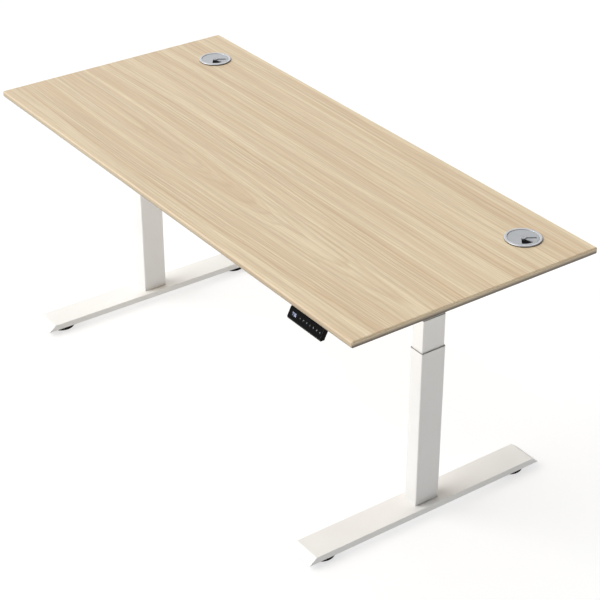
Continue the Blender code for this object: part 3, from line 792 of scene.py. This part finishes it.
def drive(side):
    sign = SIDES[side]
    low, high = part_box(f"gearbox_{side}")
    housing = piece(f"gear_housing_{side}", block(low, high, 0.006), ALLOY)
    middle = (low.z + high.z) / 2
    rings = []
    for out, radius in ((0.001, 0.007), (-0.0006, 0.0055)):
        rings.append(between((low.x - out, low.y - out), (high.x + out, high.y + out), radius))
    carve(housing, tube(*rings, "Z", middle - 0.0004, middle + 0.0004))
    ribs = [block((low.x + 0.010 + 0.008 * k, low.y + 0.004, high.z - 0.0012),
                  (low.x + 0.012 + 0.008 * k, high.y - 0.004, high.z + PAST)) for k in range(5)]
    carve(housing, *ribs)
    soften(housing, 0.0005, 2)
    dress(housing, "top", f"gearbox_{side}")

    low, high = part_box(f"motor_{side}")
    radius = (high.z - low.z) / 2
    length = high.x - low.x
    cap, mouth = 0.008, 0.0005
    profile = [(0, 0), (0.0036, 0), (0.0036, 0.0012), (0.0044, 0.0012), (0.0044, 0.0)]
    profile += arc(0.0022, -90, 0, 6, (0.0088, 0.0022))
    profile += [(0.0110, cap - 0.0004), (0.0130, cap)]
    profile += arc(0.0018, -90, 0, 6, (radius - 0.0018, cap + 0.0018))
    profile += [(radius, 0.026), (radius - mouth, 0.0264), (radius - mouth, 0.0272)]
    profile += [(radius, 0.0276), (radius, length - 0.009), (radius - 0.0008, length - 0.0086)]
    profile += [(radius - 0.0008, length), (0, length)]
    can = turned(profile, 96)
    start = min(low.x, high.x, key=abs)
    turn = Matrix.Rotation(math.radians(90 * sign), 4, "Y")
    centre = Vector((start, 0, (low.z + high.z) / 2))
    moved(can, Matrix.Translation(centre) @ turn)
    piece(f"motor_can_{side}", can, MOTOR, "top", f"motor_{side}")


def rail(name, node):
    low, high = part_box(node)
    wall = 0.0015
    outside = between((low.y, low.z), (high.y, high.z), 0.0022, 8)
    inside = between((low.y + wall, low.z + wall), (high.y - wall, high.z - wall), 0.0010, 8)
    piece(name, tube(outside, inside, "X", low.x, high.x), WHITE, "top", node,
          edge=0.0002, segments=2)


def side_arm(side):
    low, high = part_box(f"side_arm_{side}")
    wall, tip, mid = 0.003, high.z - 0.0117, 0.090
    outline = [(low.y, high.z), (low.y, tip), (-mid, low.z), (mid, low.z), (high.y, tip),
               (high.y, high.z)]
    arm = piece(f"side_channel_{side}", prism(fillet(outline, 0.003, 4), "X", low.x, high.x), WHITE)
    carve(arm, block((low.x + wall, low.y + wall, low.z - 0.02),
                     (high.x - wall, high.y - wall, high.z - wall)))
    middle = (low.x + high.x) / 2
    places = (-0.215, -0.130, 0.130, 0.215)
    holes = [drill(0.0024, 24, (middle, y), high.z - wall, high.z) for y in places]
    carve(arm, *holes)
    soften(arm, 0.0006, 2)
    dress(arm, "top", f"side_arm_{side}")
    heads = [((middle, y, high.z - wall), (0, 0, -1)) for y in places]
    screws(f"arm_screws_{side}", heads, 0.0048, 0.0026, "top")
    inner = low.x + wall if side == "right" else high.x - wall
    rail_low, rail_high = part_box("rear_rail")
    centre_y, centre_z = (rail_low.y + rail_high.y) / 2, (rail_low.z + rail_high.z) / 2
    bolts = [((inner, way * centre_y, centre_z), (SIDES[side], 0, 0)) for way in (-1, 1)]
    screws(f"arm_bolts_{side}", bolts, 0.0056, 0.0036, "top")


rail("rail_front", "front_rail")
rail("rail_back", "rear_rail")
for side in SIDES:
    head(side)
    drive(side)
    side_arm(side)


# ---- control box and cables

def control_box():
    low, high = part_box("control_case")
    wall = 0.002
    shell = piece("control_shell", block(low, high, 0.005), BLACK)
    soften(shell, 0.0012, 3)
    bake(shell)
    carve(shell, block((low.x + wall, low.y + wall, low.z + wall),
                       (high.x - wall, high.y - wall, high.z + PAST), 0.003))
    cuts = [block((low.x - PAST, -0.0138, 0.7277), (low.x + PAST, 0.0138, 0.7483))]
    for k in range(10):  # vents in the floor
        x = low.x + 0.060 + 0.012 * k
        slot = between((x, -0.022), (x + 0.004, 0.022), 0.0019, 6)
        cuts.append(prism(slot, "Z", low.z - PAST, low.z + PAST))
    carve(shell, *cuts)
    soften(shell, 0.0002, 1)
    dress(shell, "top", "control_case")

    low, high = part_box("control_cover")
    plate = piece("control_plate", block(low, high, 0.006), BLACK)
    corners = [(x, y) for x in (low.x + 0.010, high.x - 0.010) for y in (-0.030, 0.030)]
    carve(plate, *(drill(0.0022, 24, corner, low.z, high.z) for corner in corners))
    soften(plate, 0.0004, 2)
    dress(plate, "top", "control_cover")
    screws("control_screws", [((*c, low.z), (0, 0, -1)) for c in corners], 0.0042, 0.0024, "top")

    low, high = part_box("mains_inlet")
    middle = (low.z + high.z) / 2
    half_y, half_z = (high.y - low.y) / 2, (high.z - low.z) / 2
    block_outline = between((low.y, low.z), (high.y, high.z), 0.0016, 5)
    body = piece("inlet_socket", prism(block_outline, "X", low.x, high.x), BLACK)
    notch = 0.0045  # the cut corners that key a mains connector
    y, z = half_y - 0.002, half_z - 0.002
    recess = [(-y, middle - z), (y, middle - z), (y, middle + z - notch), (y - notch, middle + z),
              (-y + notch, middle + z), (-y, middle + z - notch)]
    carve(body, prism(fillet(recess, 0.0008, 3), "X", low.x - PAST, low.x + 0.010))
    soften(body, 0.0002, 1)
    dress(body, "top", "mains_inlet")
    pins = []
    for dy, dz in ((-0.0065, -0.0015), (0.0065, -0.0015), (0.0, 0.0025)):
        blade = rectangle(0.0018, 0.0040, 0.0004, 3, (dy, middle + dz))
        pins.append(prism(blade, "X", low.x + 0.0016, low.x + 0.0104))
    piece("inlet_pins", merged(pins), ZINC, "top", edge=0.0003, segments=2)


def cable_end(node):
    """The centre of the cable's end that is nearer to the desk's middle."""
    vertices = [v.co for v in frame["nodes"][node].data.vertices]
    level = min(abs(v.x) for v in vertices)
    near = [v for v in vertices if abs(abs(v.x) - level) < 1e-5]
    low = Vector(min(v[i] for v in near) for i in range(3))
    high = Vector(max(v[i] for v in near) for i in range(3))
    return (low + high) / 2


def plug(name, node, size, height):
    """A moulded plug on the control box's end, with a ribbed boot round the cable."""
    end = cable_end(node)
    way = 1 if end.x > 0 else -1
    boot = []
    out, waist = height * 0.42, height * 0.34
    for k in range(5):
        z = 0.0095 + 0.0022 * k
        boot += [(out, z), (out, z + 0.0012), (waist, z + 0.0015), (waist, z + 0.0021)]
    stem = turned([(0, 0.004), (out, 0.004)] + boot + [(0, 0.0205)], 32)
    shell = prism(rectangle(size, height, 0.0012, 5), "Z", 0.0002, 0.0095)
    for bm in (stem, shell):
        moved(bm, Matrix.Translation(end) @ Matrix.Rotation(math.radians(90 * way), 4, "Y")
              @ Matrix.Rotation(math.radians(90), 4, "Z"))
    piece(name, merged([stem, shell]), BLACK, "top", edge=0.0004, segments=2)


def clip(node, x, turn):
    """An adhesive saddle holding a cable up against the steel or board behind it."""
    vertices = [v.co for v in frame["nodes"][node].data.vertices]
    near = sorted(vertices, key=lambda v: abs(v.x - x))[:24]
    centre = Vector(sum((v[i] for v in near)) / len(near) for i in range(3))
    radius = 0.0031 if "motor" in node else 0.0024
    rise = CEILING - centre.z
    outer = radius + 0.0010
    outline = [(-outer, rise)] + arc(outer, 180, 360, 12) + [(outer, rise)]
    outline += [(radius, rise)] + arc(radius, 360, 180, 12) + [(-radius, rise)]
    strap = prism(outline, "X", -0.0035, 0.0035)
    base = block((-0.007, -0.009, rise - 0.0009), (0.007, 0.009, rise))
    bm = moved(merged([strap, base]), Matrix.Translation(centre) @ Matrix.Rotation(turn, 4, "Z"))
    name = f"{node}_clip_{round(abs(x) * 100)}"
    piece(name, bm, BLACK, "top", edge=0.0003, segments=2)


control_box()
plug("motor_plug_right", "motor_cable_right", 0.014, 0.0085)
plug("motor_plug_left", "motor_cable_left", 0.014, 0.0085)
plug("handset_plug", "handset_cable", 0.012, 0.0080)
for node, xs in (("motor_cable_right", (0.30, 0.45)), ("motor_cable_left", (-0.30, -0.45))):
    for x in xs:
        clip(node, x, 0.0)
for x, turn in ((0.60, 0.80), (0.48, 0.67)):
    clip("handset_cable", x, turn)


# ---- handset

TILT = math.radians(26.4)  # of the face
panel = Matrix.Translation((0, TOP_LOW.y, CEILING)) @ Matrix.Rotation(-TILT, 4, "X")
KEYS = ("up", "down", "memory", "1", "2", "3", "4")
KEY_FIRST, KEY_PITCH, KEY_RISE, KEY_RADIUS = 0.6978, 0.0137, -0.0134, 0.0043
WINDOW_LOW, WINDOW_HIGH = (0.6582, -0.0210), (0.6852, -0.0075)  # x, and rise from the top edge
CASE_DEPTH = 0.0132


def at_ceiling(depth, drop=0.0):
    """How far the ceiling, less a drop, is above the face's top edge at this depth."""
    return (depth * math.sin(TILT) - drop) / math.cos(TILT)


def handset():
    wall = 0.0016
    outline = [(0, 0), (0, -0.0285), (0.0048, -0.0328), (CASE_DEPTH, -0.0290),
               (CASE_DEPTH, at_ceiling(CASE_DEPTH))]
    low_x, high_x = (corner.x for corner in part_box("handset_case"))
    shell = piece("handset_shell", prism(fillet(outline, 0.0011, 5), "X", low_x, high_x), GLOSS)
    soften(shell, 0.0011, 4)
    bake(shell)
    beyond = CASE_DEPTH + 0.002
    cavity = [(wall, at_ceiling(wall, wall)), (wall, -0.0275), (0.0052, -0.0306),
              (beyond, -0.0265), (beyond, at_ceiling(beyond, wall))]
    carve(shell, prism(cavity, "X", low_x + wall, high_x - wall))
    openings = [between(WINDOW_LOW, WINDOW_HIGH, 0.0010, 5)]
    for k in range(len(KEYS)):
        openings.append(circle(KEY_RADIUS + GAP, 48, (KEY_FIRST + k * KEY_PITCH, KEY_RISE)))
    carve(shell, *(prism(opening, "Y", -0.002, 0.004) for opening in openings))
    paint(shell, GLOSS, EDGE_HIGHLIGHT)
    for face in shell.data.polygons:  # painted highlight: a lighter grey on the rounding between the front and the right end
        face.material_index = int(0.3 < face.normal.x < 0.95 and face.normal.y < -0.3)
    soften(shell, 0.00018, 2)
    shell.matrix_world = panel
    dress(shell, "top", "handset_case")

    near, far, reach, thick = CASE_DEPTH + GAP, 0.0157, 0.040, 0.003
    level = (math.cos(TILT), math.sin(TILT))
    fold = (far, at_ceiling(far, thick))
    tip = (fold[0] + reach * level[0], fold[1] + reach * level[1])
    tip_top = (tip[0] - thick * level[1], tip[1] + thick * level[0])
    outline = [(near, at_ceiling(near)), (near, -0.0290), (far, -0.0280), fold, tip, tip_top]
    back = piece("handset_bracket", prism(fillet(outline, 0.0007, 4), "X", low_x, high_x), BLACK)
    soften(back, 0.0007, 3)
    back.matrix_world = panel
    dress(back, "top", "handset_back")
    y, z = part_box("handset_back")[1].y - 0.016, CEILING - thick
    places = [((x, y, z), (0, 0, -1)) for x in (low_x + 0.020, high_x - 0.020)]
    screws("handset_screws", places, 0.0040, 0.0022, "top")

    fit = 0.0002
    low, high = [v + fit for v in WINDOW_LOW], [v - fit for v in WINDOW_HIGH]
    pane = prism(between(low, high, 0.0009, 5), "Y", 0.0003, 0.0016)
    window = piece("display_window", pane, GLASS, edge=0.00012, segments=2)
    window.matrix_world = panel
    dress(window, "top", "handset_window")

    boot = turned([(0, 0), (0.0034, 0), (0.0034, 0.0020), (0.0028, 0.0024), (0.0028, 0.0032),
                   (0.0032, 0.0036), (0.0032, 0.0044), (0.0026, 0.0048), (0.0026, 0.0056),
                   (0.0022, 0.0066), (0, 0.0066)], 32)
    start = panel @ Vector((0.6995, far, -0.0140))
    moved(boot, Matrix.Translation(start) @ aimed((0.0, math.cos(TILT), -math.sin(TILT))))
    piece("handset_boot", boot, BLACK, "top")


SEGMENTS = {"7": "abc", "6": "acdefg"}  # the strokes of a seven-segment digit that are lit
LIT_LAYER = (0.00018, 0.00032)  # the digits' depths behind the face


def stroke(low, high):
    """A flat bar between two corners of the face, with pointed ends."""
    x0, z0, x1, z1 = *low, *high
    cut = 0.00018  # what is taken off at each end
    if x1 - x0 > z1 - z0:
        middle, tip = (z0 + z1) / 2, (z1 - z0) / 2
        outline = [(x0 - tip + cut, middle), (x0 + cut, z1), (x1 - cut, z1),
                   (x1 + tip - cut, middle), (x1 - cut, z0), (x0 + cut, z0)]
    else:
        middle, tip = (x0 + x1) / 2, (x1 - x0) / 2
        outline = [(middle, z1 + tip - cut), (x1, z1 - cut), (x1, z0 + cut),
                   (middle, z0 - tip + cut), (x0, z0 + cut), (x0, z1 - cut)]
    return prism(outline, "Y", *LIT_LAYER)


def digits(text):
    width, tall, thick = 0.0034, 0.0070, 0.0007
    x = WINDOW_LOW[0] + 0.0066
    base = (WINDOW_LOW[1] + WINDOW_HIGH[1]) / 2 - tall / 2
    middle, top = base + tall / 2, base + tall
    shapes = []
    for mark in text:
        if mark == ".":
            point = circle(0.00055, 16, (x - 0.0004, base + 0.0004))
            shapes.append(prism(point, "Y", *LIT_LAYER))
            x += 0.0009
            continue
        right, half = x + width, thick / 2
        places = {}
        for name, z in (("a", top), ("g", middle), ("d", base)):
            places[name] = ((x, z - half), (right, z + half))
        for names, low, high in (("fb", middle, top), ("ec", base, middle)):
            for name, at in zip(names, (x, right)):
                places[name] = ((at - half, low), (at + half, high))
        shapes += [stroke(*places[s]) for s in SEGMENTS[mark]]
        x += width + 0.0022
    lit = piece("display_digits", merged(shapes), DIGIT)
    lit.matrix_world = panel
    dress(lit, "top")


def symbol(name):
    """A key's printed mark, about its centre on (x, rise)."""
    proud, deep = -0.00046, -0.00030
    if name in ("up", "down"):
        sign = 1 if name == "up" else -1
        outline = [(-0.0015, -0.0008 * sign), (0, 0.0011 * sign), (0.0015, -0.0008 * sign),
                   (0.0011, -0.0012 * sign), (0, 0.0003 * sign), (-0.0011, -0.0012 * sign)]
        return prism(outline, "Y", proud, deep)
    if name == "memory":
        ring = tube(circle(0.0014, 32), circle(0.0010, 32), "Y", proud, deep)
        return merged([ring, prism(circle(0.0004, 24), "Y", proud, deep)])
    curve = bpy.data.curves.new(f"mark_{name}", "FONT")
    curve.body = name
    curve.size = 0.0042
    curve.align_x = curve.align_y = "CENTER"
    curve.extrude = 0.00008
    curve.offset = 0.00006
    text = new_object(f"mark_{name}", curve)
    bpy.context.view_layer.update()
    graph = bpy.context.evaluated_depsgraph_get()
    mesh = bpy.data.meshes.new_from_object(text.evaluated_get(graph))
    bpy.data.objects.remove(text)
    bm = bmesh.new()
    bm.from_mesh(mesh)
    bpy.data.meshes.remove(mesh)
    bmesh.ops.remove_doubles(bm, verts=bm.verts, dist=1e-6)
    turn = Matrix.Rotation(math.radians(90), 4, "X")
    return moved(bm, Matrix.Translation((0, (proud + deep) / 2, 0)) @ turn)


def keys():
    for k, name in enumerate(KEYS):
        at = panel @ Matrix.Translation((KEY_FIRST + k * KEY_PITCH, 0, KEY_RISE))
        profile = [(0, 0.00038), (0.0022, 0.00036), (0.0034, 0.00033)]
        profile += arc(0.0004, 80, 0, 5, (KEY_RADIUS - 0.0004, 0.0))
        profile += [(KEY_RADIUS, -0.0020), (KEY_RADIUS, -0.0029), (0, -0.0029)]
        cap = turned(profile, 64)
        moved(cap, Matrix.Rotation(math.radians(90), 4, "X"))
        cap = piece(f"button_{name}", cap, CAP)
        cap.matrix_world = at
        dress(cap, f"key_{name}", f"key_{name}")
        mark = piece(f"symbol_{name}", symbol(name), PRINT)
        mark.matrix_world = at
        dress(mark, f"key_{name}")


handset()
digits("77.6")
keys()


# ---- CAD pieces that keep their shape

nodes = frame["nodes"]
for side in SIDES:
    paint(nodes[f"lead_screw_{side}"], THREAD)
    paint(nodes[f"hollow_screw_{side}"], THREAD)
    paint(nodes[f"drive_tube_{side}"], STEEL)
    paint(nodes[f"travel_nut_{side}"], BRONZE)
for node in ("control_board", "handset_board"):
    paint(nodes[node], BOARD)
for node in ("motor_cable_left", "motor_cable_right", "handset_cable"):
    obj = nodes[node]
    paint(obj, JACKET)
    weld = obj.modifiers.new("weld", "WELD")
    weld.merge_threshold = 0.00002
    obj.data.shade_smooth()


# ---- floor, light and camera

FLOOR_RADIUS, FLOOR_GLOW = 30, 0.63
KEY_FROM, KEY_STRENGTH, KEY_ANGLE = (-0.30, -0.62, 0.72), 2.1, 50
SOFT_BOXES = (((-1, 0, 0), 1.6), ((0, 0, 1), 0.28))  # the side each fills, and its strength
BACKDROP = 0.96  # the grey that the camera sees past the floor
EYE, PITCH, YAW = (3.6033, -2.4725, 2.9246), math.pi / 2 - 0.5373, 0.9509
LENS, SENSOR = 102.27, 36


def stage():
    bm = bmesh.new()
    bmesh.ops.create_circle(bm, cap_ends=True, segments=96, radius=FLOOR_RADIUS)
    g = Graph("pale_floor")
    cloud = g.noise(g.place(), 0.8, 3.0, 0.5)
    g.set(Base_Color=g.ramp(cloud, (0.3, 0.39), (0.7, 0.41)),
          Roughness=g.ramp(cloud, (0.3, 0.85), (0.7, 0.9)), Specular_IOR_Level=0.1,
          Emission_Color=(1, 1, 1, 1), Emission_Strength=FLOOR_GLOW)
    floor = piece("floor", bm, g.owner)


def sun(name, towards, strength, angle):
    data = bpy.data.lights.new(name, "SUN")
    data.energy = strength
    data.angle = math.radians(angle)
    obj = new_object(name, data)
    obj.rotation_mode = "QUATERNION"
    obj.rotation_quaternion = Vector(towards).to_track_quat("Z", "Y")
    return obj


def shine_through(light, name):
    """The light casts no shadow of this piece, so the floor and the feet under it stay bright."""
    blockers = bpy.data.collections.new(f"{light.name}_blockers")
    blockers.objects.link(bpy.data.objects[name])
    blockers.collection_objects[0].light_linking.link_state = "EXCLUDE"
    light.light_linking.blocker_collection = blockers


def surroundings():
    """A studio that is bright to the left and overhead and dark on the right-hand side."""
    g = Graph("studio", "worlds", "Background")
    bpy.context.scene.world = g.owner
    way = g.add("TexCoord")
    lobes = []
    for direction, strength in SOFT_BOXES:
        facing = g.add("VectorMath", {0: way, 1: direction}, output=1, operation="DOT_PRODUCT")
        lobes.append(g.add("MapRange", {"Value": facing, "To Max": strength}))
    g.set(Color=(1, 1, 1, 1), Strength=g.plus(*lobes))
    seen = g.add("Background", {"Color": (BACKDROP, BACKDROP, BACKDROP, 1)})
    to_camera = g.add("LightPath")
    mix = g.add("MixShader", {0: to_camera, 1: g.shader.outputs[0], 2: seen})
    g.put(g.tree.nodes["World Output"], "Surface", mix)


def camera():
    data = bpy.data.cameras.new("camera")
    data.lens = LENS
    data.sensor_width = SENSOR
    data.clip_end = 200
    obj = new_object("camera", data)
    obj.location = EYE
    obj.rotation_euler = (PITCH, 0, YAW)
    bpy.context.scene.camera = obj


stage()
surroundings()
shine_through(sun("key", KEY_FROM, KEY_STRENGTH, KEY_ANGLE), "worktop")
camera()
bpy.context.scene.view_settings.view_transform = "Standard"
